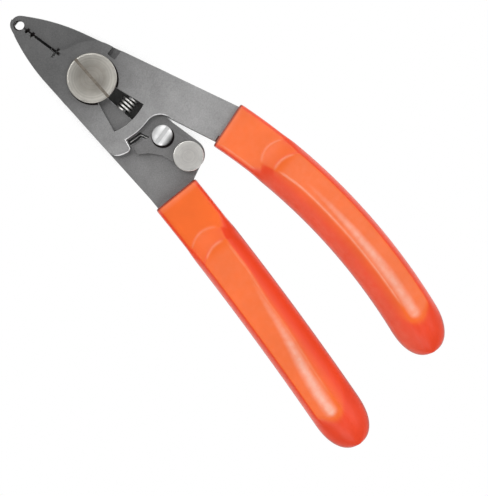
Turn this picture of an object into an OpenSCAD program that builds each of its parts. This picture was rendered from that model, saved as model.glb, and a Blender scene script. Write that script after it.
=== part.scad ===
// Fibre stripper: two crossed flat steel levers on one big pivot screw,
// moulded grips, a return spring in the windows and a swinging lock latch.
// Millimetres. The pivot axis is Z, the jaws point along +Y, the tool lies on z = 0.

/* [Plates] */
// Thickness of each steel lever
plate_t = 2.4; // [1.8:0.1:3.2]
// Air between the two levers
plate_gap = 0.1; // [0.05:0.05:0.3]
// Radius of the round head of each lever about the pivot
head_r = 9.6; // [9.2:0.1:10.2]
// Angle of the straight flanks to the centre line
flank_angle = 11.5; // [10.5:0.5:12.5]

/* [Jaws] */
// Height on the jaws where the straight flank turns into the curve
jaw_curve_y = 8.5; // [8:0.5:10]
// Distance from the pivot to the eye in the tip
eye_y = 22.9; // [22.4:0.1:24]
// Radius of the rounded tip about the eye
tip_r = 2.45; // [2.2:0.05:2.8]
// Radius of the eye half in the front jaw
eye_front_r = 1.3; // [1:0.05:1.6]
// Radius of the eye half in the rear jaw
eye_rear_r = 1.05; // [0.8:0.05:1.4]
// Height of the notch for the coating
coat_notch_y = 20.5; // [20:0.1:21]
// Height of the notch for the buffer
buffer_notch_y = 18.8; // [18.6:0.1:19.1]
// Depth of each notch from the centre line
notch_depth = 1.0; // [0.7:0.05:1.2]
// Half the mouth of each notch
notch_half = 0.62; // [0.4:0.02:0.7]
// Hole that the coating notches leave when closed
coat_hole = 0.14; // [0.1:0.02:0.3]
// Hole that the buffer notches leave when closed
buffer_hole = 0.25; // [0.2:0.05:0.5]
// Distance that the rear jaw reaches under the front jaw
jaw_lap = 1.85; // [1.6:0.05:2.2]
// Half the play at the visible parting line
seam_half = 0.06; // [0.04:0.02:0.15]
// Upper end of the relief slot
relief_top = 18.0; // [17.4:0.1:18.2]
// Lower end of the relief slot
relief_bottom = 13.1; // [12.6:0.1:14]
// Half the width of the relief slot
relief_half = 0.4; // [0.25:0.05:0.6]
// Metal left under the relief groove in the rear jaw
relief_floor = 0.6; // [0.4:0.1:1.2]
// Height of the cross cut under the relief slot
cross_y = 11.4; // [11.2:0.1:11.8]
// Width of the cross cut
cross_w = 0.5; // [0.3:0.05:0.7]
// Reach of the cross cut to the front jaw's side
cross_reach = 1.95; // [1.2:0.05:2.5]

/* [Levers] */
// Lowest point of the flank notch
side_notch_y = -1.85; // [-2.5:0.05:-1.2]
// Height of the flank notch
side_notch_h = 2.4; // [1.6:0.1:3]
// Depth that the flank notch leaves to the pivot
side_notch_x = 7.2; // [6.8:0.1:8]
// Radius of the spring window's outer end
window_r = 14.7; // [14:0.1:15.5]
// Radius of the spring window's inner end
window_in_r = 5.9; // [5.4:0.1:6.2]
// Distance from the centre line to the window edge that carries the spring
spring_edge_x = 2.2; // [1.9:0.05:2.6]
// Lean of that window edge
spring_edge_lean = 6; // [0:1:7]
// Slope of the window's far edge
window_lean = 24; // [20:1:27]
// Distance from the centre line to the foot of the window's far edge
window_far_x = 7.5; // [6.5:0.1:8]
// Radius of the web's edge below the window
web_r = 18.0; // [17.6:0.1:18.2]
// Radius of the nose at the shoulder that the latch holds
nose_r = 21.05; // [20.8:0.05:21.2]
// Polar angle of the nose shoulder
nose_angle = -114.5; // [-115.5:0.5:-114]
// Rounding at the nose shoulder
nose_round = 1.0; // [0.8:0.1:1.2]
// Rounding at the back of the nose
nose_back_r = 3.6; // [2.4:0.1:4.4]
// Radius of the arch that clears the latch screw
arch_r = 3.8; // [3.5:0.1:4]
// Radius of the rear lever's covered tail
tail_r = 19.6; // [19:0.1:20.2]
// Distance from the centre line to the rear lever's shelf edge
shelf_x = 3.2; // [2.8:0.1:3.4]
// Inner edge of the front arm at the arch
arm_in_top = 3.3; // [3.3:0.1:4.2]

/* [Pivot] */
// Diameter of the pivot screw's head
pivot_head_d = 12.8; // [12:0.1:13.6]
// Height of the pivot screw's head
pivot_head_h = 1.7; // [1.2:0.1:2.2]
// Diameter of the pivot screw's shank
pivot_d = 6.0; // [5:0.1:7]
// Width of the screwdriver slot in the pivot screw
pivot_slot_w = 0.9; // [0.6:0.1:1.4]
// Depth of the screwdriver slot in the pivot screw
pivot_slot_h = 0.8; // [0.4:0.1:1]
// Turn of the slot from the centre line
pivot_slot_turn = -12; // [-90:1:90]
// Width across the flats of the pivot nut
pivot_nut_w = 10; // [9:0.5:11]
// Thickness of the washer under the nut
washer_t = 0.6; // [0.4:0.1:1]
// Diameter of the washer under the nut
washer_d = 12; // [11:0.5:13]
// Radial running clearance on the pivot and the latch screw
run_fit = 0.05; // [0.02:0.01:0.09]
// Radial clearance of fixed screws in the rear lever
fixed_fit = 0.03; // [0.01:0.01:0.06]
// Air under screw heads
head_gap = 0.05; // [0.02:0.01:0.1]

/* [Return spring] */
// Diameter of the return spring's wire
coil_wire = 0.55; // [0.4:0.05:0.7]
// Outer diameter of the return spring
coil_d = 4.15; // [3.6:0.05:4.4]
// Turns of the return spring
coil_turns = 4; // [3:1:5]
// Height of the spring's axis below the pivot
coil_y = -11.1; // [-11.6:0.1:-10.6]
// Width and height of the nib that holds each end of the spring
nib_w = 1.2; // [0.8:0.1:1.4]
// Length of the nib
nib_l = 0.8; // [0.5:0.1:1]

/* [Latch] */
// Distance of the latch screw from the centre line
latch_x = -1.05; // [-1.3:0.05:-0.8]
// Height of the latch screw below the pivot
latch_y = -22.97; // [-23.3:0.05:-22.8]
// Diameter of the latch screw's head
latch_head_d = 5.4; // [4.8:0.1:5.6]
// Height of the latch screw's head
latch_head_h = 1.3; // [1:0.1:1.6]
// Diameter of the latch screw's shank
latch_d = 3.0; // [2.4:0.1:3.4]
// Width of the slot in the latch screw
latch_slot_w = 0.8; // [0.5:0.1:1]
// Depth of the slot in the latch screw
latch_slot_h = 0.6; // [0.3:0.1:0.8]
// Turn of the slot in the latch screw
latch_slot_turn = 90; // [-90:1:90]
// Width across the flats of the latch nut
latch_nut_w = 5.5; // [5:0.5:6]
// Thickness of the latch nut
latch_nut_h = 1.6; // [1.2:0.1:2]
// Thickness of the latch lever
latch_t = 1.9; // [1.5:0.1:2.2]
// Inner radius of the latch tongue about the pivot
tongue_r = 20.3; // [20.1:0.05:20.4]
// Angle between the nose shoulder and the tongue's end
tongue_gap = 1.9; // [1.6:0.1:2.4]
// Width of the tongue's end
tongue_w = 2.3; // [1.8:0.1:2.8]
// Diameter of the round thumb button
button_d = 7.8; // [7:0.1:8.4]
// Height of the thumb button
button_h = 2.1; // [1.6:0.1:2.4]
// Sideways place of the button from the latch screw
button_dx = -0.27; // [-0.6:0.05:0]
// Distance of the button below the latch screw
button_dy = 8.58; // [8.2:0.05:9]
// Diameter of the button's stem
button_stem_d = 3.0; // [2.4:0.1:3.6]
// Diameter of the latch spring's wire
hair_wire = 0.5; // [0.4:0.05:0.6]
// Mean radius of the latch spring's coil
hair_r = 2.05; // [1.9:0.05:2.2]

/* [Grips] */
// Length of each grip along its middle
grip_l = 79; // [72:1:86]
// Width of each grip
grip_w = 12.9; // [12:0.1:14]
// Thickness of each grip
grip_t = 11; // [10:0.1:12]
// Width of the sleeve at the mouth of each grip
sleeve_w = 12.5; // [11.6:0.1:13]
// Thickness of the sleeve at the mouth of each grip
sleeve_t = 8.6; // [7.6:0.1:9.4]
// Length of the flat sleeve
sleeve_l = 11.9; // [10:0.1:14]
// Length of the ramp from the sleeve to the grip
ramp_l = 4.5; // [3.5:0.1:6]
// Radius of the curved ridges across the ramp
ridge_r = 7.4; // [6.5:0.1:12]
// Length of the rounded end of each grip
grip_end_l = 10.5; // [8:0.5:13]
// Lean of the rear grip at its mouth
rear_lean = 14.6; // [13:0.1:16]
// Bend radius of the rear grip
rear_bend_r = 900; // [700:10:1200]
// Lean of the front grip at its mouth
front_lean = -3; // [-4:0.1:-2]
// Bend radius of the front grip
front_bend_r = 158; // [145:1:180]
// Sideways distance from the centre line to the rear grip's mouth
rear_mouth_x = -11.1; // [-11.5:0.05:-10.8]
// Sideways distance from the centre line to the front grip's mouth
front_mouth_x = 10.95; // [10.6:0.05:11.3]
// Height of both grip mouths below the pivot
mouth_y = -34.7; // [-36:0.1:-34]
// Width of the tangs inside the grips
tang_w = 7.0; // [5:0.1:8]
// Length of the tangs inside the grips
tang_l = 58; // [45:1:64]
// Clearance of the tangs in the grips
tang_fit = 0.04; // [0.02:0.01:0.1]

/* [Hidden] */
$fn = 96;
eps = 0.01;

// Levels: the grips rest on z = 0 and the levers lie either side of their middle
mid_z = grip_t / 2;
rear_z = mid_z - plate_gap / 2 - plate_t;
rear_top = rear_z + plate_t;
front_z = mid_z + plate_gap / 2;
front_top = front_z + plate_t;
latch_z = rear_top + head_gap;
latch_top = latch_z + latch_t;
pivot_nut_h = rear_z - washer_t;

// Flank line: tangent to the head circle
// (the head stands proud of it by a hair, so the two meet at an angle)
flank_r = head_r - 0.05;
flank_x0 = flank_r / cos(flank_angle);
head_touch = flank_r * sin(flank_angle);
function flank_x(y) = flank_x0 - y * tan(flank_angle);

// Points of an arc, from angle a0 to a1
function arc_points(c, r, a0, a1, n) =
  [for (i = [0:n]) c + r * [cos(a0 + (a1 - a0) * i / n), sin(a0 + (a1 - a0) * i / n)]];
function polar(r, a) = r * [cos(a), sin(a)];
function mirror_x(pts) = [for (i = [len(pts) - 1:-1:0]) [-pts[i][0], pts[i][1]]];

latch_c = [latch_x, latch_y];
button_c = latch_c + [button_dx, -button_dy];
// The arch is tangent to the web's edge, a little to the right of the latch screw
arch_a = atan2(latch_y, latch_x) + 2.1;
arch_c = polar(web_r + arch_r, arch_a);

// ---- outline shared by both levers ----

// Outer edge of the right jaw: the curve is tangent to the flank and to the rounded tip
flank_n = [cos(flank_angle), sin(flank_angle)];
jaw_start = [flank_x(jaw_curve_y), jaw_curve_y];
jaw_drop = jaw_start - [0, eye_y];
jaw_curve_r = (jaw_drop * jaw_drop - tip_r * tip_r) / (2 * (jaw_drop * flank_n - tip_r));
jaw_c = jaw_start - jaw_curve_r * flank_n;
jaw_end_a = atan2(eye_y - jaw_c[1], -jaw_c[0]);

// From the flank up to the tip, which ends at the distance cut from the centre line
function jaw_edge(cut) = concat(
  arc_points(jaw_c, jaw_curve_r, flank_angle, jaw_end_a - 0.8, 13),
  arc_points([0, eye_y], tip_r, jaw_end_a, acos(cut / tip_r), 10)
);

// Side of a notched jaw edge: a V at each stripping notch, opening towards side
module notch_v(x_root, y, x_mouth) {
  dir = x_mouth > x_root ? 1 : -1;
  polygon([[x_root, y], [x_mouth + dir, y + notch_half * 1.6], [x_mouth + dir, y - notch_half * 1.6]]);
}

// Cuts that both levers share, drawn for the front lever; the rear lever mirrors them
module spring_window() {
  edge_low = [spring_edge_x + 3.3 * tan(spring_edge_lean), coil_y - 3.3];
  edge_high = [spring_edge_x - 6.1 * tan(spring_edge_lean), coil_y + 6.1];
  far_low_y = -sqrt(pow(window_r, 2) - pow(window_far_x, 2));
  far_low = [-window_far_x, far_low_y];
  far_high = far_low + 9.2 * [sin(window_lean), cos(window_lean)];
  difference() {
    intersection() {
      circle(r = window_r);
      polygon([
        edge_high,
        edge_low + [0.1 * tan(spring_edge_lean), -1.4],
        far_low + [-0.9 * sin(window_lean), -3],
        far_low,
        far_high
      ]);
    }
    circle(r = window_in_r);
  }
}

// Nib on the window's bearing edge, for the bore of the return spring
module spring_nib(z) {
  translate([spring_edge_x - nib_l, coil_y - nib_w / 2, z]) cube([nib_l + 0.5, nib_w, nib_w]);
}

// Notch in the front lever's flank; the rear lever's head shows through it
module side_notch() {
  translate([side_notch_x, side_notch_y]) square([6, side_notch_h]);
}

// ---- tangs ----

// Middle line of a grip: place, direction and side at the distance s from its mouth
function lean_at(s, lean, bend) = lean + s / bend * 180 / PI;
function mid_at(s, mouth, lean, bend) = mouth + bend * [
  cos(lean_at(s, lean, bend)) - cos(lean),
  sin(lean) - sin(lean_at(s, lean, bend))
];
function side_at(s, lean, bend) = [cos(lean_at(s, lean, bend)), -sin(lean_at(s, lean, bend))];
rear_mouth = [rear_mouth_x, mouth_y];
front_mouth = [front_mouth_x, mouth_y];

function tang_side(mouth, lean, bend, half, s0, s1, n) = [
  for (i = [0:n])
    let (s = s0 + (s1 - s0) * i / n)
      mid_at(s, mouth, lean, bend) + half * side_at(s, lean, bend)
];

module tang(mouth, lean, bend, fit = 0) {
  half = tang_w / 2 + fit;
  end = mid_at(tang_l - half, mouth, lean, bend);
  turn = lean_at(tang_l - half, lean, bend);
  polygon(concat(
    tang_side(mouth, lean, bend, half, -1.5, tang_l - half, 12),
    arc_points(end, half, -turn - 10, -turn - 170, 12),
    tang_side(mouth, lean, bend, -half, tang_l - half, -1.5, 12)
  ));
}

// ---- front lever ----

// Parting line of the front jaw, from the head up to the tip
function front_parting() = let (slit = -relief_half - 0.1) [
  [2.4, 0], [2.95, head_r * 0.92], [0.85, cross_y - 0.6], [0.35, cross_y - 0.3],
  [-0.2, cross_y - 0.3], [-0.2, cross_y - 1.1], [slit, cross_y - 1.1],
  [slit, cross_y - cross_w / 2], [-cross_reach, cross_y - cross_w / 2],
  [-cross_reach, cross_y + cross_w / 2], [slit, cross_y + cross_w / 2],
  [slit, relief_bottom], [-relief_half, relief_bottom + 0.15],
  [-relief_half, relief_top], [-seam_half, relief_top]
];

// Nose: a hooked lobe that ends in the radial shoulder which the tongue faces
function nose_edge() = let (
    turn = asin(nose_round / (nose_r - nose_round)),
    corner = polar(nose_r - nose_round, nose_angle - turn),
    back_a = -flank_angle - acos((nose_back_r - flank_r) / (nose_r - nose_back_r)),
    back_c = polar(nose_r - nose_back_r, back_a)
  ) concat(
    arc_points(back_c, nose_back_r, -180 - flank_angle, back_a - 1, 8),
    arc_points([0, 0], nose_r, back_a + 0.5, nose_angle - turn - 0.5, 4),
    arc_points(corner, nose_round, nose_angle - turn + 8, nose_angle + 90, 6)
  );

// The whole outline in one run: jaw, flank, nose, web, arch, arm and back to the head
module front_outline() {
  mouth_in = front_mouth - (sleeve_w / 2 - 1.0) * side_at(0, front_lean, front_bend_r);
  mouth_out = front_mouth + (sleeve_w / 2 - 0.75) * side_at(0, front_lean, front_bend_r);
  polygon(concat(
    mirror_x(jaw_edge(seam_half)),
    nose_edge(),
    arc_points([0, 0], web_r, nose_angle, arch_a - 1, 9),
    arc_points(arch_c, arch_r, arch_a + 178, 0, 14),
    [[arch_c[0] + arch_r + 0.02, arch_c[1] - 0.9], mouth_in, mouth_out],
    [[flank_x(-16), -16], [flank_x(head_touch), head_touch]],
    front_parting()
  ));
}

module front_profile() {
  difference() {
    union() {
      front_outline();
      circle(r = head_r);
      tang(front_mouth, front_lean, front_bend_r);
    }
    translate([0, eye_y]) circle(r = eye_front_r, $fn = 48);
    notch_v(-notch_depth, coat_notch_y, -seam_half);
    notch_v(-notch_depth - 0.1, buffer_notch_y, -seam_half);
    spring_window();
    side_notch();
  }
}

module front_lever() {
  color([0.58, 0.58, 0.6])
    difference() {
      union() {
        translate([0, 0, front_z]) linear_extrude(plate_t) front_profile();
        spring_nib(front_z);
      }
      translate([0, 0, front_z - 1]) cylinder(h = plate_t + 2, r = pivot_d / 2 + run_fit);
    }
}

// ---- rear lever ----

// Parting line of the rear jaw, from the tip down; above the cross cut it laps under
function rear_parting() = let (slit = -0.2) [
  [-jaw_lap, relief_bottom - 0.1], [slit, relief_bottom - 0.1],
  [slit, cross_y + cross_w / 2], [relief_half, cross_y + cross_w / 2],
  [relief_half, cross_y - cross_w / 2], [slit, cross_y - cross_w / 2],
  [-0.85, cross_y - 0.6], [-2.95, head_r * 0.92], [-2.4, 0]
];

// The whole outline in one run: jaw, flank down to the grip, shelf, covered tail, flank
module rear_outline() {
  mouth_in = rear_mouth + (sleeve_w / 2 - 0.6) * side_at(0, rear_lean, rear_bend_r);
  mouth_out = rear_mouth - (sleeve_w / 2 - 0.5) * side_at(0, rear_lean, rear_bend_r);
  shelf_r = shelf_x - button_c[0] - 0.5;
  shelf_c = [shelf_x - shelf_r, button_c[1] + 0.2];
  tail_in = -acos(shelf_x / tail_r);
  tail_out = -acos(flank_r / tail_r) + flank_angle;
  polygon(concat(
    jaw_edge(-jaw_lap),
    rear_parting(),
    [[-flank_x(head_touch), head_touch], [-flank_x(-30), -30], mouth_out, mouth_in],
    arc_points(shelf_c, shelf_r, -98, 0, 9),
    arc_points([0, 0], tail_r, tail_in, tail_out, 9)
  ));
}

// Arc slot in which the end of the latch spring lies
module spring_slot() {
  r0 = web_r + 0.2;
  r1 = tongue_r - 0.75;
  polygon(concat(
    arc_points([0, 0], r0, nose_angle + 0.5, nose_angle + 13, 6),
    arc_points([0, 0], r1, nose_angle + 13, nose_angle + 0.5, 6)
  ));
}

module rear_profile() {
  difference() {
    union() {
      rear_outline();
      circle(r = head_r);
      tang(rear_mouth, rear_lean, rear_bend_r);
    }
    // the rear half of the eye is open towards the front jaw
    translate([0, eye_y]) circle(r = eye_rear_r, $fn = 48);
    translate([-4, eye_y - eye_rear_r]) square([4, 2 * eye_rear_r]);
    notch_v(-notch_depth + coat_hole, coat_notch_y, -jaw_lap);
    notch_v(-notch_depth - 0.1 + buffer_hole, buffer_notch_y, -jaw_lap);
    mirror([1, 0]) spring_window();
    spring_slot();
  }
}

// Round recess for the coil of the latch spring; the wire clears its floor by 0.05
recess_r = hair_r + hair_wire / 2 + 0.35;
recess_h = 2 * hair_wire + 0.25;
hair_z = rear_top - recess_h + 0.05 + hair_wire / 2;

// Path of the latch spring: one coil round the screw, then the leg in the slot
hair_foot = polar((web_r + tongue_r - 0.55) / 2, nose_angle + 11.5);
hair_tip = polar((web_r + tongue_r - 0.55) / 2, nose_angle + 1.8);
hair_reach = hair_foot - latch_c;
hair_a1 = atan2(hair_reach[1], hair_reach[0]) + acos(hair_r / norm(hair_reach));
hair_turn = 395;
hair_path = concat(
  [for (i = [0:40])
    let (a = hair_a1 + hair_turn * (1 - i / 40))
      [latch_c[0] + hair_r * cos(a), latch_c[1] + hair_r * sin(a),
       hair_z + (hair_wire + 0.08) * (1 - i / 40)]],
  [[hair_foot[0], hair_foot[1], hair_z]],
  [for (i = [1:3]) let (t = i / 3) [
    hair_foot[0] + (hair_tip[0] - hair_foot[0]) * t,
    hair_foot[1] + (hair_tip[1] - hair_foot[1]) * t, hair_z]]
);

module rear_lever() {
  coil_end = hair_path[40];
  leg = [hair_foot[0] - coil_end[0], hair_foot[1] - coil_end[1]];
  color([0.5, 0.5, 0.52])
    difference() {
      union() {
        translate([0, 0, rear_z]) linear_extrude(plate_t) rear_profile();
        mirror([1, 0, 0]) spring_nib(rear_top - nib_w);
      }
      translate([0, 0, rear_z - 1]) cylinder(h = plate_t + 2, r = pivot_d / 2 + fixed_fit);
      translate([latch_x, latch_y, rear_z - 1])
        cylinder(h = plate_t + 2, r = latch_d / 2 + fixed_fit);
      translate([latch_x, latch_y, rear_top - recess_h]) cylinder(h = recess_h + 1, r = recess_r);
      // relief groove in the jaw, above which the front jaw is cut back
      translate([-relief_half, relief_bottom, rear_z + relief_floor])
        cube([2 * relief_half - 0.1, relief_top - relief_bottom, plate_t]);
      // groove for the straight leg
      translate([coil_end[0], coil_end[1], rear_top - recess_h])
        rotate([0, 0, atan2(leg[1], leg[0])])
          translate([-0.6, -hair_wire / 2 - 0.15, 0])
            cube([norm(leg) + 0.6, hair_wire + 0.3, recess_h + 1]);
    }
}

// ---- pivot ----

module pivot_screw() {
  z0 = front_top + head_gap;
  edge = 0.45;
  color([0.78, 0.78, 0.76])
    difference() {
      rotate_extrude()
        polygon(concat(
          [[0, 0], [pivot_d / 2 - 0.3, 0], [pivot_d / 2, 0.3], [pivot_d / 2, z0], [pivot_head_d / 2, z0]],
          arc_points([pivot_head_d / 2 - edge, z0 + pivot_head_h - edge], edge, 0, 80, 6),
          [[0, z0 + pivot_head_h + 0.06]]
        ));
      rotate([0, 0, pivot_slot_turn])
        translate([-pivot_slot_w / 2, -pivot_head_d, z0 + pivot_head_h - pivot_slot_h])
          cube([pivot_slot_w, 2 * pivot_head_d, pivot_slot_h + 1]);
    }
}

module pivot_washer() {
  color([0.7, 0.7, 0.7])
    translate([0, 0, pivot_nut_h + eps])
      difference() {
        cylinder(h = washer_t - 2 * eps, d = washer_d);
        translate([0, 0, -1]) cylinder(h = washer_t + 2, r = pivot_d / 2 + fixed_fit);
      }
}

// Hexagon nut with its corners turned off below
module hex_nut(w, h, bore_r) {
  difference() {
    intersection() {
      cylinder(h = h, r = w / sqrt(3), $fn = 6);
      rotate_extrude()
        polygon([[0, 0], [w / 2 - 0.15, 0], [w / sqrt(3) + 0.02, 0.75], [w / sqrt(3) + 0.02, h], [0, h]]);
    }
    translate([0, 0, -1]) cylinder(h = h + 2, r = bore_r);
  }
}

module pivot_nut() {
  color([0.72, 0.72, 0.72]) hex_nut(pivot_nut_w, pivot_nut_h, pivot_d / 2 + fixed_fit);
}

// ---- springs ----

// Round wire along a path of points, as one closed tube
module wire(path, d, sides = 8) {
  n = len(path);
  dirs = [for (i = [0:n - 1])
    let (a = path[max(i - 1, 0)], b = path[min(i + 1, n - 1)]) (b - a) / norm(b - a)];
  // the cross vector keeps clear of the wire's direction on both springs
  function across(v, ref) = let (c = cross(v, ref)) c / norm(c);
  ref = abs(dirs[0][0]) + abs(dirs[floor(n / 2)][0]) > 2 ? [0, 1, 0] : [0.13, 0.09, 1];
  rings = [for (i = [0:n - 1])
    let (u = across(dirs[i], ref), v = cross(dirs[i], u))
      for (k = [0:sides - 1])
        path[i] + d / 2 * (cos(360 * k / sides) * u + sin(360 * k / sides) * v)];
  faces = concat(
    [[for (k = [0:sides - 1]) k]],
    [for (i = [0:n - 2]) for (k = [0:sides - 1])
      let (k2 = (k + 1) % sides, a = i * sides + k, b = i * sides + k2)
        each [[a, a + sides, b + sides], [a, b + sides, b]]],
    [[for (k = [sides - 1:-1:0]) (n - 1) * sides + k]]
  );
  polyhedron(points = rings, faces = faces, convexity = 6);
}

// Return spring: lies along X between the two windows' bearing edges
module return_spring() {
  r = (coil_d - coil_wire) / 2;
  half = spring_edge_x - coil_wire / 2 - 0.03;
  steps = coil_turns * 20;
  color([0.8, 0.8, 0.78])
    wire([for (i = [0:steps])
      [-half + 2 * half * i / steps,
       coil_y + r * sin(360 * coil_turns * i / steps),
       mid_z + r * cos(360 * coil_turns * i / steps)]], coil_wire);
}

module latch_spring() {
  color([0.75, 0.75, 0.72]) wire(hair_path, hair_wire, 8);
}

// ---- latch ----

// The tongue ends in a radial face just behind the nose, the tail carries the button
module latch_profile() {
  tongue_a = nose_angle + tongue_gap;
  hub_r = latch_head_d / 2 - 0.1;
  end_low = polar(tongue_r + tongue_w, tongue_a - 0.2);
  tail_r = button_d / 2 - 0.35;
  polygon(concat(
    arc_points([0, 0], tongue_r, tongue_a + 9.5, tongue_a + 0.9, 6),
    [polar(tongue_r + 0.3, tongue_a), end_low],
    [end_low + [2.1, -2.2], end_low + [3.6, -5.2]],
    arc_points(button_c, tail_r, 165, 350, 14),
    arc_points(latch_c, hub_r, -12, 132, 10)
  ));
}

module latch_lever() {
  color([0.55, 0.55, 0.57])
    difference() {
      translate([0, 0, latch_z]) linear_extrude(latch_t) latch_profile();
      translate([latch_x, latch_y, latch_z - 1])
        cylinder(h = latch_t + 2, r = latch_d / 2 + run_fit);
      translate([button_c[0], button_c[1], latch_z - 1])
        cylinder(h = latch_t + 2, r = button_stem_d / 2 + fixed_fit);
    }
}

module latch_button() {
  z0 = latch_top + eps;
  edge = 0.4;
  color([0.78, 0.79, 0.78])
    translate([button_c[0], button_c[1], 0])
      rotate_extrude()
        polygon(concat(
          [[0, latch_z + 0.05], [button_stem_d / 2, latch_z + 0.05], [button_stem_d / 2, z0],
           [button_d / 2 - 0.25, z0], [button_d / 2, z0 + 0.25]],
          arc_points([button_d / 2 - edge, z0 + button_h - edge], edge, 0, 80, 5),
          [[0, z0 + button_h + 0.05]]
        ));
}

module latch_screw() {
  z0 = latch_top + head_gap;
  z_low = rear_z - latch_nut_h;
  edge = 0.4;
  color([0.85, 0.85, 0.84])
    translate([latch_x, latch_y, 0])
      difference() {
        rotate_extrude()
          polygon(concat(
            [[0, z_low], [latch_d / 2 - 0.2, z_low], [latch_d / 2, z_low + 0.2], [latch_d / 2, z0],
             [latch_head_d / 2, z0]],
            [[latch_head_d / 2, z0 + latch_head_h - edge], [latch_head_d / 2 - edge, z0 + latch_head_h],
             [0, z0 + latch_head_h]]
          ));
        rotate([0, 0, latch_slot_turn])
          translate([-latch_slot_w / 2, -latch_head_d, z0 + latch_head_h - latch_slot_h])
            cube([latch_slot_w, 2 * latch_head_d, latch_slot_h + 1]);
      }
}

module latch_nut() {
  color([0.72, 0.72, 0.72])
    translate([latch_x, latch_y, rear_z - latch_nut_h])
      hex_nut(latch_nut_w, latch_nut_h - eps, latch_d / 2 + fixed_fit);
}

// ---- grips ----

function blend(t) = let (c = min(max(t, 0), 1)) c * c * (3 - 2 * c);
function mix(a, b, t) = a + (b - a) * t;
function power(v, p) = sign(v) * pow(abs(v), p);

// Half section round the grip: a flat towards each face and a rounded flank each side
function flank_point(t, a, b, inner, outer, p) =
  [cos(t) >= 0 ? inner + (a - inner) * power(cos(t), 2 / p)
               : -outer + (a - outer) * power(cos(t), 2 / p),
   b * power(sin(t), 2 / p)];
section_k = 7;
section_n = 4 * section_k + 2;
function section(a, b, inner, outer, p) = concat(
  [for (j = [0:section_k - 1]) flank_point(90 * j / section_k, a, b, inner, outer, p)],
  [[inner, b], [-outer, b]],
  [for (j = [1:section_k]) flank_point(90 + 90 * j / section_k, a, b, inner, outer, p)],
  [for (j = [1:section_k - 1]) flank_point(180 + 90 * j / section_k, a, b, inner, outer, p)],
  [[-outer, -b], [inner, -b]],
  [for (j = [1:section_k - 1]) flank_point(270 + 90 * j / section_k, a, b, inner, outer, p)]
);

// One ring of the grip at the distance s from the mouth
function grip_ring(s, mouth, lean, bend, in_sign) =
  let (
    up = blend((s - sleeve_l) / ramp_l),
    e = max(0, (s - (grip_l - grip_end_l)) / grip_end_l),
    round_end = pow(max(0, 1 - pow(e, 2.3)), 1 / 2.3),
    mouth_cut = s < 0.4 ? 0.35 : 0,
    a = (mix(sleeve_w, grip_w, up) / 2 - mouth_cut) * round_end,
    b = (mix(sleeve_t, grip_t, up) / 2 - mouth_cut) * pow(round_end, 0.75),
    p = mix(6, 2.5, up),
    narrow = blend((s - sleeve_l - ramp_l) / (grip_l - grip_end_l - sleeve_l - ramp_l)),
    inner = min(mix(sleeve_w / 2 - 1, mix(3.3, 0.6, narrow), up), a * 0.7),
    outer = min(mix(sleeve_w / 2 - 1, mix(4.4, 3.2, narrow), up), a * 0.7),
    bow = blend(s / 6) * (1 - blend((s - sleeve_l - ramp_l - 3) / 14))
  )
  [for (q = section(a, b, inner, outer, p))
    let (
      w = q[0] * in_sign,
      st = s + bow * pow(q[0], 2) / (2 * ridge_r),
      c = mid_at(st, mouth, lean, bend) + w * side_at(st, lean, bend)
    ) [c[0], c[1], mid_z + q[1]]];

grip_stations = concat(
  [0, 0.5, 4, 8, sleeve_l - 0.2],
  [for (i = [0:5]) sleeve_l + ramp_l * (i + 0.5) / 6],
  [sleeve_l + ramp_l + 0.2],
  [for (i = [1:10]) let (s0 = sleeve_l + ramp_l, s1 = grip_l - grip_end_l) s0 + (s1 - s0) * i / 10],
  [for (i = [1:8]) grip_l - grip_end_l + grip_end_l * sin(84 * i / 8)]
);

module grip_shell(mouth, lean, bend, in_sign) {
  n = section_n - 2;
  rings = [for (s = grip_stations) grip_ring(s, mouth, lean, bend, in_sign)];
  count = len(rings[0]);
  last = len(rings) - 1;
  points = [for (r = rings) for (q = r) q];
  flip = in_sign > 0;
  tube = [for (i = [0:last - 1]) for (k = [0:count - 1])
    let (k2 = (k + 1) % count, a = i * count + k, b = i * count + k2, c = a + count, d = b + count)
      each (flip ? [[a, b, d], [a, d, c]] : [[a, d, b], [a, c, d]])];
  start = [for (k = [0:count - 1]) flip ? count - 1 - k : k];
  end = [for (k = [0:count - 1]) last * count + (flip ? k : count - 1 - k)];
  polyhedron(points = points, faces = concat([start], tube, [end]), convexity = 4);
}

module rear_grip() {
  color([0.96, 0.36, 0.13])
    difference() {
      grip_shell(rear_mouth, rear_lean, rear_bend_r, 1);
      translate([0, 0, rear_z - tang_fit])
        linear_extrude(plate_t + 2 * tang_fit) tang(rear_mouth, rear_lean, rear_bend_r, tang_fit);
    }
}

module front_grip() {
  color([0.96, 0.36, 0.13])
    difference() {
      grip_shell(front_mouth, front_lean, front_bend_r, -1);
      translate([0, 0, front_z - tang_fit])
        linear_extrude(plate_t + 2 * tang_fit) tang(front_mouth, front_lean, front_bend_r, tang_fit);
    }
}

rear_lever();
rear_grip();
front_lever();
front_grip();
pivot_screw();
pivot_washer();
pivot_nut();
return_spring();
latch_lever();
latch_button();
latch_screw();
latch_nut();
latch_spring();
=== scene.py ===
"""Fibre stripper: two crossed blasted steel levers, moulded vinyl grips and a lock latch."""
from math import atan2, cos, degrees, exp, hypot, pi, radians, sin

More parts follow.
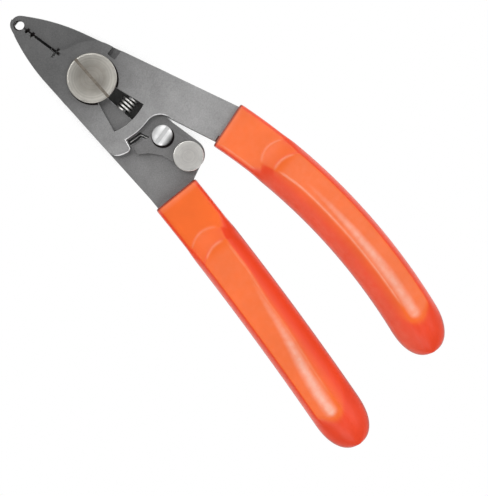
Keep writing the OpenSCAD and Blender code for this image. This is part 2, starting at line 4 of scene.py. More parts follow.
import bpy
from mathutils import Matrix, Vector
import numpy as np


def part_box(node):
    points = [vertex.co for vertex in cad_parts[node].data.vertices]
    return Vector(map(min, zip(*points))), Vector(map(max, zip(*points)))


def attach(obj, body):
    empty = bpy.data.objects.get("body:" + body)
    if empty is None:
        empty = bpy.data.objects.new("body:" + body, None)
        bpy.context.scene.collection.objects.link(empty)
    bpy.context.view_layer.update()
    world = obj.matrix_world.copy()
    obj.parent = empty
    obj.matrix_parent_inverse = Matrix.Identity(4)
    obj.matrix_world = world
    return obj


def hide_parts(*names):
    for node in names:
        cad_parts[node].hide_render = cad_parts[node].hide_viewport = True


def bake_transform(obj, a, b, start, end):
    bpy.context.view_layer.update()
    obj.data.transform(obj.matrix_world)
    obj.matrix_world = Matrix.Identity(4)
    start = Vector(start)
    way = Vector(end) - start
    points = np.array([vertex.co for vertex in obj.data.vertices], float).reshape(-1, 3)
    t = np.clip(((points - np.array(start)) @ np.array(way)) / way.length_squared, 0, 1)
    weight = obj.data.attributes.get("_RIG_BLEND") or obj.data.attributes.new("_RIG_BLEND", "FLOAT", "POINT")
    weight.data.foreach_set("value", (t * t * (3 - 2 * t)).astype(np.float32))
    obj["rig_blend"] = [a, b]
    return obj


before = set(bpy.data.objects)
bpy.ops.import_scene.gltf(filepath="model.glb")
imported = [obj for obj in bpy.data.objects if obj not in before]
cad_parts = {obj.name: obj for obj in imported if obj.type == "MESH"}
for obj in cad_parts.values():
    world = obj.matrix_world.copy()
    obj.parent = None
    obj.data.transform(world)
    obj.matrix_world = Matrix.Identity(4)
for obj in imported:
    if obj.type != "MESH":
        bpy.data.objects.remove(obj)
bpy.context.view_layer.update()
bpy.ops.object.select_all(action="DESELECT")
MM = 0.001

# ---------------------------------------------------------------------------
# Table, camera and lamps. The tool lies on a white table under a dim
# ceiling, between four soft boxes and two small panels higher up past its ends.
# The camera sees painted shade on the table in the levers' holes.

scene = bpy.context.scene
scene.view_settings.view_transform = "Standard"


def paint(name, roughness, metallic):
    """A new material; returns it with its node tree, shader and object coordinates."""
    made = bpy.data.materials.new(name)
    made.use_nodes = True
    tree = made.node_tree
    shader = tree.nodes["Principled BSDF"]
    shader.inputs["Roughness"].default_value = roughness
    shader.inputs["Metallic"].default_value = metallic
    place = tree.nodes.new("ShaderNodeTexCoord").outputs["Object"]
    return made, tree, shader, place


def feed(tree, value, socket):
    """Gives an input its value: an output to link, a colour or a number."""
    if isinstance(value, bpy.types.NodeSocket):
        tree.links.new(value, socket)
    else:
        socket.default_value = (*value, 1) if isinstance(value, tuple) else value


def mixed(tree, share, first, second, kind="MIX"):
    """Two colours mixed; each is an output or a plain colour, and share an output or a number."""
    made = tree.nodes.new("ShaderNodeMix")
    made.data_type, made.blend_type = "RGBA", kind
    for socket, value in ((0, share), (6, first), (7, second)):
        feed(tree, value, made.inputs[socket])
    return made.outputs[2]


def worked(tree, operation, first, second=0.0, clamp=False):
    """One sum on one or two values, each an output or a number."""
    made = tree.nodes.new("ShaderNodeMath")
    made.operation, made.use_clamp = operation, clamp
    feed(tree, first, made.inputs[0])
    feed(tree, second, made.inputs[1])
    return made.outputs[0]


def ranged(tree, value, low, high, top=1.0, soft=False):
    """Brings a value's stretch from low to high onto 0 to top, with soft ends if asked."""
    made = tree.nodes.new("ShaderNodeMapRange")
    made.interpolation_type = "SMOOTHSTEP" if soft else "LINEAR"
    for socket, limit in (("From Min", low), ("From Max", high), ("To Max", top)):
        made.inputs[socket].default_value = limit
    tree.links.new(value, made.inputs["Value"])
    return made.outputs["Result"]


def axis_distance(tree, place, x, y):
    """Distance of a place from the upright line through (x, y)."""
    shift = tree.nodes.new("ShaderNodeMapping")
    shift.inputs["Location"].default_value = (-x, -y, 0)
    shift.inputs["Scale"].default_value = (1, 1, 0)
    tree.links.new(place, shift.inputs["Vector"])
    far = tree.nodes.new("ShaderNodeVectorMath")
    far.operation = "LENGTH"
    tree.links.new(shift.outputs["Vector"], far.inputs[0])
    return far.outputs["Value"]


bpy.ops.mesh.primitive_plane_add(size=3.0, location=(0, 0, -0.05 * MM))
table = bpy.context.object
table.name = "table"
table_paint, tree, matt, place = paint("white table with painted shade", 0.9, 0.0)
matt.inputs["Specular IOR Level"].default_value = 0.0
ray = tree.nodes.new("ShaderNodeLightPath").outputs
# Camera rays see a darker grey, which is painted shade; lamps and bounces see the paler table
lit_table, painted_shade_grey = (0.90, 0.90, 0.90), (0.22, 0.22, 0.22)
feed(tree, mixed(tree, ray["Is Camera Ray"], lit_table, painted_shade_grey), matt.inputs["Base Color"])
nearness = tree.nodes.new("ShaderNodeAmbientOcclusion")
nearness.samples = 12
nearness.inputs["Distance"].default_value = 11 * MM
# Painted shade: where ambient occlusion is low the camera sees the table dark grey;
# inside a disc about the pivot the levers' holes keep that painted shade, and past the web's edge the open
# table shows white
inner_hole, outer_hole, dark_below, white_above = 17.6 * MM, 20.0 * MM, 0.32, 0.50
from_web = axis_distance(tree, place, -3 * MM, -4 * MM)
past_web = ranged(tree, from_web, inner_hole, outer_hole, top=dark_below)
light_in = worked(tree, "ADD", nearness.outputs["AO"], past_web)
open_table = ranged(tree, light_in, dark_below, white_above)
seen = worked(tree, "ADD", ray["Is Camera Ray"], ray["Is Glossy Ray"], clamp=True)
paper = tree.nodes.new("ShaderNodeEmission")
paper.inputs["Color"].default_value = (1, 1, 1, 1)
either = tree.nodes.new("ShaderNodeMixShader")
feed(tree, worked(tree, "MULTIPLY", seen, open_table), either.inputs[0])
feed(tree, matt.outputs[0], either.inputs[1])
feed(tree, paper.outputs[0], either.inputs[2])
feed(tree, either.outputs[0], tree.nodes["Material Output"].inputs["Surface"])
table.data.materials.append(table_paint)

room = bpy.data.worlds.new("studio")
room.use_nodes = True
room.node_tree.nodes["Background"].inputs["Color"].default_value = (1, 1, 1, 1)
room.node_tree.nodes["Background"].inputs["Strength"].default_value = 0.25
scene.world = room

view_right = Vector((0.5948, -0.8039, 0))
view_up = Vector((0.8039, 0.5948, 0))
aim = Vector((-11.71, -56.79, 8.0)) * MM
lamp_distance = 1.2


def soft_box(name, turn, height_angle, wide, tall, power):
    """One rectangular lamp that faces the tool from the given side of the camera's view."""
    a, e = radians(turn), radians(height_angle)
    side = view_right * cos(a) + view_up * sin(a)
    place = aim + lamp_distance * (side * cos(e) + Vector((0, 0, sin(e))))
    lamp = bpy.data.lights.new(name, "AREA")
    lamp.shape = "RECTANGLE"
    lamp.size, lamp.size_y, lamp.energy = wide, tall, power
    holder = bpy.data.objects.new(name, lamp)
    scene.collection.objects.link(holder)
    holder.location = place
    holder.rotation_euler = (aim - place).to_track_quat("-Z", "Y").to_euler()


for name, turn, height_angle in (("box left", 160, 38), ("box right", 20, 38),
                                 ("box above", 90, 42), ("box below", 270, 42)):
    soft_box(name, turn, height_angle, 0.9, 0.6, 4.0)
soft_box("low panel", -36, 64, 0.45, 0.45, 1.1)
soft_box("high panel", 140, 67, 0.26, 0.26, 1.25)

camera_data = bpy.data.cameras.new("camera")
camera_data.sensor_width = 36.0
camera_height = 1.100
table_seen = 126.232 * MM
camera_data.lens = camera_data.sensor_width * camera_height / table_seen
camera = bpy.data.objects.new("camera", camera_data)
scene.collection.objects.link(camera)
camera.matrix_world = Matrix.Translation(aim + Vector((0, 0, camera_height))) @ Matrix(
    (view_right, view_up, (0, 0, 1))).transposed().to_4x4()
scene.camera = camera

# ---------------------------------------------------------------------------
# Rear lever. Blanked from 2.4 mm steel plate, hardened, bead blasted grey on
# the faces and tumbled so that its edges are lightly rounded and brighter.


def only(piece):
    """Selects one piece and nothing else, in object mode."""
    bpy.ops.object.select_all(action="DESELECT")
    piece.select_set(True)
    bpy.context.view_layer.objects.active = piece


def solid_copy(node, name):
    """A copy of a solid with its loose triangles merged back into whole faces."""
    piece = bpy.data.objects.new(name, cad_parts[node].data.copy())
    scene.collection.objects.link(piece)
    piece.data.materials.clear()
    only(piece)
    bpy.ops.object.mode_set(mode="EDIT")
    bpy.ops.mesh.select_all(action="SELECT")
    bpy.ops.mesh.remove_doubles(threshold=2e-6)
    bpy.ops.mesh.dissolve_limited(angle_limit=radians(1.0))
    bpy.ops.object.mode_set(mode="OBJECT")
    return piece


def rounded(piece, width, segments, angle=35, finish=0, share=None):
    """Breaks the sharp edges of a metal piece; share gives each edge its part of the width."""
    only(piece)
    mesh = piece.data
    weights = mesh.attributes.new("bevel_weight_edge", "FLOAT", "EDGE")
    faces_at = {}
    for polygon in mesh.polygons:
        for key in polygon.edge_keys:
            faces_at.setdefault(key, []).append(polygon.normal)
    for edge in mesh.edges:
        sides = faces_at.get(tuple(sorted(edge.vertices)), [])
        if len(sides) == 2 and degrees(sides[0].angle(sides[1])) > angle:
            middle = (mesh.vertices[edge.vertices[0]].co + mesh.vertices[edge.vertices[1]].co) / 2
            weights.data[edge.index].value = share(middle) if share else 1.0
    edge = piece.modifiers.new("edge", "BEVEL")
    edge.width, edge.segments, edge.limit_method = width, segments, "WEIGHT"
    edge.use_clamp_overlap, edge.material = False, finish
    bpy.ops.object.modifier_apply(modifier="edge")
    bpy.ops.object.shade_smooth_by_angle(angle=radians(angle))
    flat = piece.modifiers.new("flat", "WEIGHTED_NORMAL")
    flat.keep_sharp, flat.weight = True, 90
    bpy.ops.object.modifier_apply(modifier="flat")


def noise(tree, place, size, detail, stretch=None):
    """Noise whose features are about as large as size, in metres."""
    made = tree.nodes.new("ShaderNodeTexNoise")
    made.inputs["Scale"].default_value = 1.0 / size
    made.inputs["Detail"].default_value = detail
    if stretch:
        mapping = tree.nodes.new("ShaderNodeMapping")
        mapping.inputs["Scale"].default_value = stretch
        tree.links.new(place, mapping.inputs["Vector"])
        place = mapping.outputs["Vector"]
    tree.links.new(place, made.inputs["Vector"])
    return made.outputs["Fac"]


def ramp(tree, value, *stops):
    """A colour ramp through (position, colour) stops."""
    made = tree.nodes.new("ShaderNodeValToRGB")
    tree.links.new(value, made.inputs["Fac"])
    while len(made.color_ramp.elements) < len(stops):
        made.color_ramp.elements.new(0.5)
    for element, (position, colour) in zip(made.color_ramp.elements, stops):
        element.position = position
        element.color = (*colour, 1) if isinstance(colour, tuple) else (colour, colour, colour, 1)
    return made.outputs["Color"]


def toned(tree, first, second):
    """Two colours multiplied, to lay light and dark marks over a tone."""
    return mixed(tree, 1.0, first, second, "MULTIPLY")


def along(tree, place, axis):
    """One coordinate, X, Y or Z, of a place."""
    made = tree.nodes.new("ShaderNodeSeparateXYZ")
    tree.links.new(place, made.inputs[0])
    return made.outputs[axis]


def bumped(tree, shader, height, strength, depth):
    """Feeds a height into the shader's normal."""
    made = tree.nodes.new("ShaderNodeBump")
    made.inputs["Strength"].default_value = strength
    made.inputs["Distance"].default_value = depth
    tree.links.new(height, made.inputs["Height"])
    tree.links.new(made.outputs["Normal"], shader.inputs["Normal"])


def shadow_ring(tree, place, colour, x, y, radius, soft):
    """A painted black shadow round a head or a hole, as far as the radius."""
    shadow_paint = (0.016, 0.012, 0.012)
    outside_shadow = ranged(tree, axis_distance(tree, place, x, y), radius - soft, radius, soft=True)
    return mixed(tree, outside_shadow, shadow_paint, colour)


def slit_shade(tree, place, colour, x, y, half_wide, half_long):
    """Painted black shade in a slit and along its two lips."""
    slit_shade_black = (0.014, 0.012, 0.012)
    shift = tree.nodes.new("ShaderNodeMapping")
    shift.inputs["Location"].default_value = (-x / half_wide, -y / half_long, 0)
    shift.inputs["Scale"].default_value = (1 / half_wide, 1 / half_long, 0)
    tree.links.new(place, shift.inputs["Vector"])
    sides = tree.nodes.new("ShaderNodeVectorMath")
    sides.operation = "ABSOLUTE"
    tree.links.new(shift.outputs["Vector"], sides.inputs[0])
    from_middle = sides.outputs["Vector"]
    larger = worked(tree, "MAXIMUM", along(tree, from_middle, "X"), along(tree, from_middle, "Y"))
    return mixed(tree, ranged(tree, larger, 0.7, 1.1), slit_shade_black, colour)


def blasted_steel(name, jaw_shade, plain, shadow_paint, slit_shades=()):
    """Fine even grain and cloudy patches; a painted shade darkens the tone from the arm towards the jaws."""
    made, tree, shader, place = paint(name, 0.46, 1.0)
    # Painted shade: the tone grows darker from the arm towards the jaws
    lit_end, shaded_end = -27 * MM, 11 * MM
    jaw_shade_share = ranged(tree, along(tree, place, "Y"), lit_end, shaded_end, soft=True)
    shaded_tone = mixed(tree, jaw_shade_share, plain, jaw_shade)
    clouds = ramp(tree, noise(tree, place, 5 * MM, 5), (0.32, 0.90), (0.68, 1.06))
    specks = noise(tree, place, 0.30 * MM, 2)
    colour = toned(tree, shaded_tone, clouds)
    colour = toned(tree, colour, ramp(tree, specks, (0.3, 0.84), (0.7, 1.04)))
    for ring in shadow_paint:
        colour = shadow_ring(tree, place, colour, *ring)
    for line in slit_shades:
        colour = slit_shade(tree, place, colour, *line)
    tree.links.new(colour, shader.inputs["Base Color"])
    marks = noise(tree, place, 1.6 * MM, 2, (1, 14, 1))
    tree.links.new(ramp(tree, marks, (0.35, 0.52), (0.62, 0.44)), shader.inputs["Roughness"])
    bumped(tree, shader, specks, 0.30, 0.02 * MM)
    return made


def ground_edge(name, tone):
    """Bright worn metal where the tumbling has rounded an edge; a high tone paints a highlight on it."""
    made, tree, shader, place = paint(name, 0.30, 1.0)
    wear = noise(tree, place, 0.7 * MM, 3)
    tree.links.new(ramp(tree, wear, (0.3, tone * 0.8), (0.7, tone)), shader.inputs["Base Color"])
    bumped(tree, shader, wear, 0.15, 0.02 * MM)
    return made


def sheared_edge(name, tone):
    """The blanked side of a plate, with fine lines across its thickness."""
    made, tree, shader, place = paint(name, 0.42, 1.0)
    lines = noise(tree, place, 0.35 * MM, 2, (1, 1, 0.08))
    tree.links.new(ramp(tree, lines, (0.3, tone * 0.7), (0.7, tone)), shader.inputs["Base Color"])
    bumped(tree, shader, lines, 0.35, 0.03 * MM)
    return made


# Each painted slit shade is its middle, half width and half length; each painted shadow ring its middle,
# radius and soft edge
# Painted shade: black patches over the seam slit, the cross cut and the notches
shaded_slits = [(0, 17.3 * MM, 0.26 * MM, 4.7 * MM), (0, 11.4 * MM, 1.25 * MM, 0.34 * MM),
               (0, 11.6 * MM, 0.36 * MM, 1.5 * MM), (0, 20.5 * MM, 0.75 * MM, 0.40 * MM),
               (0, 18.9 * MM, 0.70 * MM, 0.40 * MM)]
# Painted shadow: a black crescent on one side of the eye's rim
eye_shadow = (-0.26 * MM, 23.0 * MM, 1.46 * MM, 0.16 * MM)
# The painted shade tone of the jaws on both levers
jaw_shade_tone = (0.165, 0.165, 0.165)
# The rear lever's darker grey than the front lever's is painted shade on the same steel
rear_face = blasted_steel("blasted rear lever steel", jaw_shade_tone, (0.305, 0.302, 0.302),
                          shadow_paint=[eye_shadow], slit_shades=shaded_slits)
plain_edge = ground_edge("tumbled lever edge", 0.34)
lever_side = sheared_edge("blanked lever side", 0.26)
# Painted shade: a near-black finish for walls and floors deep in the jaws
shaded_jaw_wall = sheared_edge("jaw wall in painted shade", 0.03)


def plate_finish(piece, face, edge, side):
    """Face, edge and side finishes of a plate; the walls of the eye, slit and notches and the floors of
    grooves get a near-black painted shade.
    """
    for finish in (face, edge, side, shaded_jaw_wall):
        piece.data.materials.append(finish)
    side_index, shade_index = 2, 3
    slit_half, slit_low, slit_high = 2.3, 10.5, 21
    eye_y, eye_wall = 22.9, 1.5
    floors_below = 4.5
    for polygon in piece.data.polygons:
        at = polygon.center / MM
        if abs(polygon.normal.z) < 0.5:
            in_slits = abs(at.x) < slit_half and slit_low < at.y < slit_high
            in_eye = hypot(at.x, at.y - eye_y) < eye_wall
            polygon.material_index = shade_index if in_slits or in_eye else side_index
        elif polygon.normal.z > 0.5 and at.z < floors_below:
            polygon.material_index = shade_index


def jaw_edges(at):
    """The cutting edges, the notches and the eye stay sharp; the other edges are broken."""
    jaw_half, jaw_low = 2.9 * MM, 9.0 * MM
    return 0.0 if abs(at.x) < jaw_half and at.y > jaw_low else 1.0


rear_plate = solid_copy("rear_lever", "rear_lever_plate")
plate_finish(rear_plate, rear_face, plain_edge, lever_side)
rounded(rear_plate, 0.10 * MM, 2, finish=1, share=jaw_edges)
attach(rear_plate, "rear_handle")
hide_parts("rear_lever")

# ---------------------------------------------------------------------------
# Front lever. The same plate and finish in a lighter grey than the rear lever's
# painted shade; the lower edge of its web, from the nose round into the arch, is
# ground to a wider break whose bright tone is a painted highlight.

head_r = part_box("pivot_screw")[1].x
# Painted shadow: a dark crescent round the pivot head, offset to one side
head_shadow = (-0.09 * MM, -0.40 * MM, head_r + 0.22 * MM, 0.16 * MM)
front_face = blasted_steel("blasted front lever steel", jaw_shade_tone, (0.46, 0.456, 0.456),
                           shadow_paint=[eye_shadow, head_shadow], slit_shades=shaded_slits)
# Painted highlight: a much brighter tone on the wide break of the web's lower edge
web_edge_highlight = ground_edge("web edge with painted highlight", 0.78)


def web_edges(at):
    """The wide break grows along the nose's back, then runs to the grip; the head's arc has none."""
    narrow = 0.25 * jaw_edges(at)
    upper_from = 7 * MM
    if at.z < upper_from:
        return narrow
    reach = hypot(at.x, at.y)
    on_nose = at.x < -11 * MM and at.y < -14.4 * MM
    in_arch = -35.2 * MM < at.y < -14 * MM and reach > 17.2 * MM and at.x < 8 * MM
    on_head = at.y > 0 and reach < 10.2 * MM and at.x > -6 * MM
    if on_nose:
        nose_start, growth = -14.9 * MM, 3 * MM
        return 0.25 + 0.75 * min(1.0, (nose_start - min(at.y, nose_start)) / growth)
    if in_arch:
        return 1.0
    return 0.0 if on_head else narrow


front_plate = solid_copy("front_lever", "front_lever_plate")
plate_finish(front_plate, front_face, web_edge_highlight, lever_side)
rounded(front_plate, 0.40 * MM, 3, finish=1, share=web_edges)
front_plate.data.materials.append(plain_edge)
face_index, highlight_index, plain_index = 0, 1, 4
arm_x = 4.2 * MM
for polygon in front_plate.data.polygons:
    if polygon.material_index == highlight_index and polygon.center.x > arm_x:
        polygon.material_index = face_index
    elif polygon.material_index == highlight_index and web_edges(polygon.center) < 0.6:
        polygon.material_index = plain_index
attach(front_plate, "front_handle")
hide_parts("front_lever")

# ---------------------------------------------------------------------------
# Pivot screw. Turned from bar and nickel plated: a low head with a rounded
# rim and a slightly dished face with turning marks, and a driver slot.

head_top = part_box("pivot_screw")[1].z


def spun(name, profile, steps=96):
    """A turned piece: a half outline of (radius, height) pairs spun about the Z axis."""
    mesh = bpy.data.meshes.new(name)
    mesh.from_pydata([(r, 0, z) for r, z in profile],
                     [(i, i + 1) for i in range(len(profile) - 1)], [])
    piece = bpy.data.objects.new(name, mesh)
    scene.collection.objects.link(piece)
    only(piece)
    bpy.ops.object.mode_set(mode="EDIT")
    bpy.ops.mesh.select_all(action="SELECT")
    bpy.ops.mesh.spin(steps=steps, angle=2 * pi, center=(0, 0, 0), axis=(0, 0, 1))
    bpy.ops.mesh.select_all(action="SELECT")
    bpy.ops.mesh.remove_doubles(threshold=1e-6)
    bpy.ops.mesh.normals_make_consistent(inside=False)
    bpy.ops.object.mode_set(mode="OBJECT")
    return piece


def arc(centre_r, centre_z, radius, start, end, count):
    """Points of a quarter round for a turned outline, by angle in degrees."""
    return [(centre_r + radius * cos(radians(start + (end - start) * i / count)),
             centre_z + radius * sin(radians(start + (end - start) * i / count)))
            for i in range(count + 1)]


def slotted(piece, width, depth, top, turn, x=0.0, y=0.0):
    """Saws a driver slot across a screw head."""
    bpy.ops.mesh.primitive_cube_add(size=1.0)
    saw = bpy.context.object
    saw.data.transform(Matrix.Translation((x, y, top)) @ Matrix.Rotation(turn, 4, "Z")
                       @ Matrix.Diagonal((width, 20 * MM, 2 * depth, 1)))
    cut = piece.modifiers.new("slot", "BOOLEAN")
    cut.operation, cut.solver, cut.object = "DIFFERENCE", "EXACT", saw
    only(piece)
    bpy.ops.object.modifier_apply(modifier="slot")
    bpy.data.objects.remove(saw)


def turned_metal(name, middle, rim, radius, roughness, centre=(0.0, 0.0), ring=0.2 * MM, swirl=0.3):
    """A faced disc: fine lathe rings that spread the light, and a painted highlight lightening the tone
    towards its rim.
    """
    made, tree, shader, place = paint(name, roughness, 1.0)
    far = axis_distance(tree, place, *centre)
    rings = tree.nodes.new("ShaderNodeTexNoise")
    rings.noise_dimensions = "1D"
    rings.inputs["Scale"].default_value = 1.0 / ring
    rings.inputs["Detail"].default_value = 3.0
    tree.links.new(far, rings.inputs["W"])
    # Painted highlight: the tone lightens from the middle out to the rim
    tone = mixed(tree, ranged(tree, far, 0.50 * radius, 0.96 * radius), middle, rim)
    lines = ramp(tree, rings.outputs["Fac"], (0.3, 0.90), (0.7, 1.04))
    clouds = ramp(tree, noise(tree, place, 1.7 * MM, 5), (0.3, 0.92), (0.7, 1.05))
    tree.links.new(toned(tree, toned(tree, tone, lines), clouds), shader.inputs["Base Color"])
    bumped(tree, shader, rings.outputs["Fac"], 0.12, 0.02 * MM)
    round_lines = tree.nodes.new("ShaderNodeTangent")
    round_lines.direction_type, round_lines.axis = "RADIAL", "Z"
    shader.inputs["Anisotropic"].default_value = swirl
    tree.links.new(round_lines.outputs["Tangent"], shader.inputs["Tangent"])
    return made


axis_r = 0.0001 * MM
head_seat = head_top - 1.755 * MM
shank_r, shank_break = 3.0 * MM, 0.3 * MM
rim = 0.30 * MM
under_r = head_r - 0.20 * MM
pivot_below = [(axis_r, 0), (shank_r - shank_break, 0), (shank_r, shank_break), (shank_r, head_seat),
               (under_r - 0.15 * MM, head_seat), (under_r, head_seat + 0.15 * MM),
               (under_r, head_seat + 0.45 * MM), (head_r, head_seat + 0.65 * MM)]
pivot_dish = [(head_r - rim - 0.25 * MM, head_top - 0.015 * MM),
              (head_r - 1.4 * MM, head_top - 0.09 * MM), (head_r - 2.2 * MM, head_top - 0.14 * MM),
              (3.0 * MM, head_top - 0.17 * MM), (1.5 * MM, head_top - 0.18 * MM),
              (axis_r, head_top - 0.18 * MM)]
pivot = spun("pivot_screw_turned",
             pivot_below + arc(head_r - rim, head_top - rim, rim, 0, 80, 6) + pivot_dish, 128)
slot_turn, slot_wide, slot_deep = radians(-12), 0.74 * MM, 0.55 * MM
slotted(pivot, slot_wide, slot_deep, head_top, slot_turn)
nickel = turned_metal("satin nickel", (0.355, 0.335, 0.30), (0.57, 0.55, 0.505), head_r, 0.40,
                      ring=0.35 * MM)
# Painted shade: a dark tone on the walls and floor of the driver slot
slot_shade, tree, shader, place = paint("driver slot in painted shade", 0.5, 1.0)
film = noise(tree, place, 0.6 * MM, 3)
tree.links.new(ramp(tree, film, (0.3, (0.20, 0.175, 0.145)), (0.7, (0.31, 0.275, 0.235))),
               shader.inputs["Base Color"])
bumped(tree, shader, film, 0.2, 0.02 * MM)
pivot.data.materials.append(nickel)
pivot.data.materials.append(slot_shade)
for polygon in pivot.data.polygons:
    at = polygon.center
    across = abs(at.x * cos(slot_turn) + at.y * sin(slot_turn))
    if across < slot_wide / 2 + 0.02 * MM and head_seat + 0.5 * MM < at.z < head_top - 0.25 * MM:
        polygon.material_index = 1
only(pivot)
bpy.ops.object.shade_smooth_by_angle(angle=radians(32))
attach(pivot, "rear_handle")
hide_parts("pivot_screw")

# ---------------------------------------------------------------------------
# Washer and hexagon nut behind the rear lever. Stamped and cold formed, zinc
# plated; the nut clamps the screw to the rear lever and leaves the front free.

zinc = turned_metal("zinc plate", (0.50, 0.50, 0.48), (0.60, 0.60, 0.58), 6 * MM, 0.36)
washer = solid_copy("pivot_washer", "pivot_washer_plated")
washer.data.materials.append(zinc)
rounded(washer, 0.1 * MM, 2)
nut = solid_copy("pivot_nut", "pivot_nut_plated")
nut.data.materials.append(zinc)
rounded(nut, 0.15 * MM, 2, angle=25)
for piece, node in ((washer, "pivot_washer"), (nut, "pivot_nut")):
    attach(piece, "rear_handle")
    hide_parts(node)

# ---------------------------------------------------------------------------
# Return spring. Wound from 0.55 mm drawn wire; it sits on two nibs between
# the edges of the two windows, so its right end goes with the front lever.

coil_low, coil_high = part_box("return_spring")
coil_wire = 0.55 * MM
coil_mean = (coil_high.z - coil_low.z) / 2 - coil_wire / 2
coil_centre = (coil_low + coil_high) / 2
coil_half = coil_high.x - coil_wire / 2
coil_turns = 4


def wound_wire(name, points, wire):
    """Round wire along a line of points: a path whose round bevel is made a mesh."""
    line = bpy.data.curves.new(name, "CURVE")
    line.dimensions = "3D"
    line.bevel_depth, line.bevel_resolution, line.use_fill_caps = wire / 2, 3, True
    run = line.splines.new("POLY")
    run.points.add(len(points) - 1)
    for point, place in zip(run.points, points):
        point.co = (*place, 1)
    piece = bpy.data.objects.new(name, line)
    scene.collection.objects.link(piece)
    only(piece)
    bpy.ops.object.convert(target="MESH")
    piece = bpy.context.object
    bpy.ops.object.mode_set(mode="EDIT")
    bpy.ops.mesh.select_all(action="SELECT")
    bpy.ops.mesh.remove_doubles(threshold=1e-6)
    bpy.ops.mesh.normals_make_consistent(inside=False)
    bpy.ops.object.mode_set(mode="OBJECT")
    bpy.ops.object.shade_smooth_by_angle(angle=radians(50))
    return piece


coil_points = []
coil_steps = coil_turns * 40
for i in range(coil_steps + 1):
    share = i / coil_steps
    a = 2 * pi * coil_turns * share
    coil_points.append((coil_centre.x - coil_half + 2 * coil_half * share,
                        coil_centre.y + coil_mean * sin(a), coil_centre.z + coil_mean * cos(a)))
spring = wound_wire("return_spring_wound", coil_points, coil_wire)


def drawn_wire(name, dark_to=None, bright_from=None):
    """Drawn wire with faint lines along it; a coil's lower half is painted black as shade."""
    made, tree, shader, place = paint(name, 0.40, 1.0)
    lines = noise(tree, place, 0.5 * MM, 2)
    colour = ramp(tree, lines, (0.3, (0.74, 0.73, 0.71)), (0.7, (0.92, 0.91, 0.89)))
    if dark_to is not None:
        # Painted shade: the coil goes black below, leaving only its upper turns bright
        underside_shade = (0.02, 0.018, 0.018)
        lit_top = ranged(tree, along(tree, place, "Z"), dark_to, bright_from, soft=True)
        colour = mixed(tree, lit_top, underside_shade, colour)
    tree.links.new(colour, shader.inputs["Base Color"])
    bumped(tree, shader, lines, 0.08, 0.01 * MM)
    return made


spring.data.materials.append(drawn_wire("coil wire with painted shade below", coil_centre.z + 0.2 * coil_mean,
                                        coil_centre.z + 0.75 * coil_mean))
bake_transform(spring, "rear_handle", "front_handle", start=(coil_low.x, coil_centre.y, 0),
         end=(coil_high.x, coil_centre.y, 0))
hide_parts("return_spring")

# ---------------------------------------------------------------------------
# Latch lever. A small blanked catch: its tongue stands behind the nose's
# shoulder and its tail, under the button, is swung by the thumb.

button_low, button_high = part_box("latch_button")
button_at = (button_low + button_high) / 2
button_r = (button_high.x - button_low.x) / 2
screw_low, screw_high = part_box("latch_screw")
screw_at = (screw_low + screw_high) / 2
screw_r = (screw_high.x - screw_low.x) / 2
# Painted shadows round the button and the latch screw
button_shadow = (button_at.x, button_at.y, button_r + 0.18 * MM, 0.14 * MM)
screw_shadow = (screw_at.x - 0.14 * MM, screw_at.y - 0.34 * MM, screw_r + 0.34 * MM, 0.20 * MM)
latch_face = blasted_steel("blasted latch steel", (0.24, 0.238, 0.238), (0.25, 0.247, 0.247),
                           shadow_paint=[button_shadow, screw_shadow])
latch_plate = solid_copy("latch_lever", "latch_lever_plate")
plate_finish(latch_plate, latch_face, latch_face, latch_face)
rounded(latch_plate, 0.06 * MM, 2)
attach(latch_plate, "latch")
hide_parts("latch_lever")

# ---------------------------------------------------------------------------
# Thumb button. Turned from bar and faced flat with fine tool marks; its stem
# is set in a hole in the latch's tail.

button_top = button_high.z - 0.05 * MM
button_seat = button_top - 2.1 * MM
button_rim = 0.18 * MM
button_stem = 1.5 * MM
button_below = [(axis_r, button_low.z), (button_stem, button_low.z), (button_stem, button_seat),
                (button_r - 0.25 * MM, button_seat), (button_r, button_seat + 0.25 * MM)]
button_crown = [(button_r - 0.3 * MM, button_top + 0.002 * MM), (2.4 * MM, button_top + 0.004 * MM),
                (1.2 * MM, button_top + 0.006 * MM), (axis_r, button_top + 0.007 * MM)]
button_arc = arc(button_r - button_rim, button_top - button_rim, button_rim, 0, 84, 4)
button = spun("latch_button_turned", button_below + button_arc + button_crown)
button.data.transform(Matrix.Translation((button_at.x, button_at.y, 0)))
button_metal = turned_metal("faced steel", (0.72, 0.70, 0.67), (0.80, 0.785, 0.75), button_r, 0.38,
                            centre=(button_at.x, button_at.y), ring=0.30 * MM, swirl=0.0)
button.data.materials.append(button_metal)
only(button)
bpy.ops.object.shade_smooth_by_angle(angle=radians(32))
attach(button, "latch")
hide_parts("latch_button")

# ---------------------------------------------------------------------------
# Latch screw and nut. The screw's domed, bright plated head holds the latch
# down with a running gap; the nut locks it behind the rear lever.

screw_top = screw_high.z
screw_seat = screw_top - 1.3 * MM
dome = 0.55 * MM
screw_shank, screw_break = 1.5 * MM, 0.2 * MM
screw_below = [(axis_r, screw_low.z), (screw_shank - screw_break, screw_low.z),
               (screw_shank, screw_low.z + screw_break), (screw_shank, screw_seat),
               (screw_r - 0.08 * MM, screw_seat), (screw_r, screw_seat + 0.08 * MM),
               (screw_r, screw_top - dome)]
screw_dome = [(screw_r * sin(radians(a)) ** 0.8, screw_top - dome + dome * cos(radians(a)))
              for a in (78, 68, 58, 48, 38, 28, 18, 9)]
screw = spun("latch_screw_turned", screw_below + screw_dome + [(axis_r, screw_top)], 80)
screw.data.transform(Matrix.Translation((screw_at.x, screw_at.y, 0)))
slotted(screw, 1.00 * MM, 0.42 * MM, screw_top, pi / 2, screw_at.x, screw_at.y)
bright, tree, shader, place = paint("plate with painted highlight bands", 0.50, 1.0)
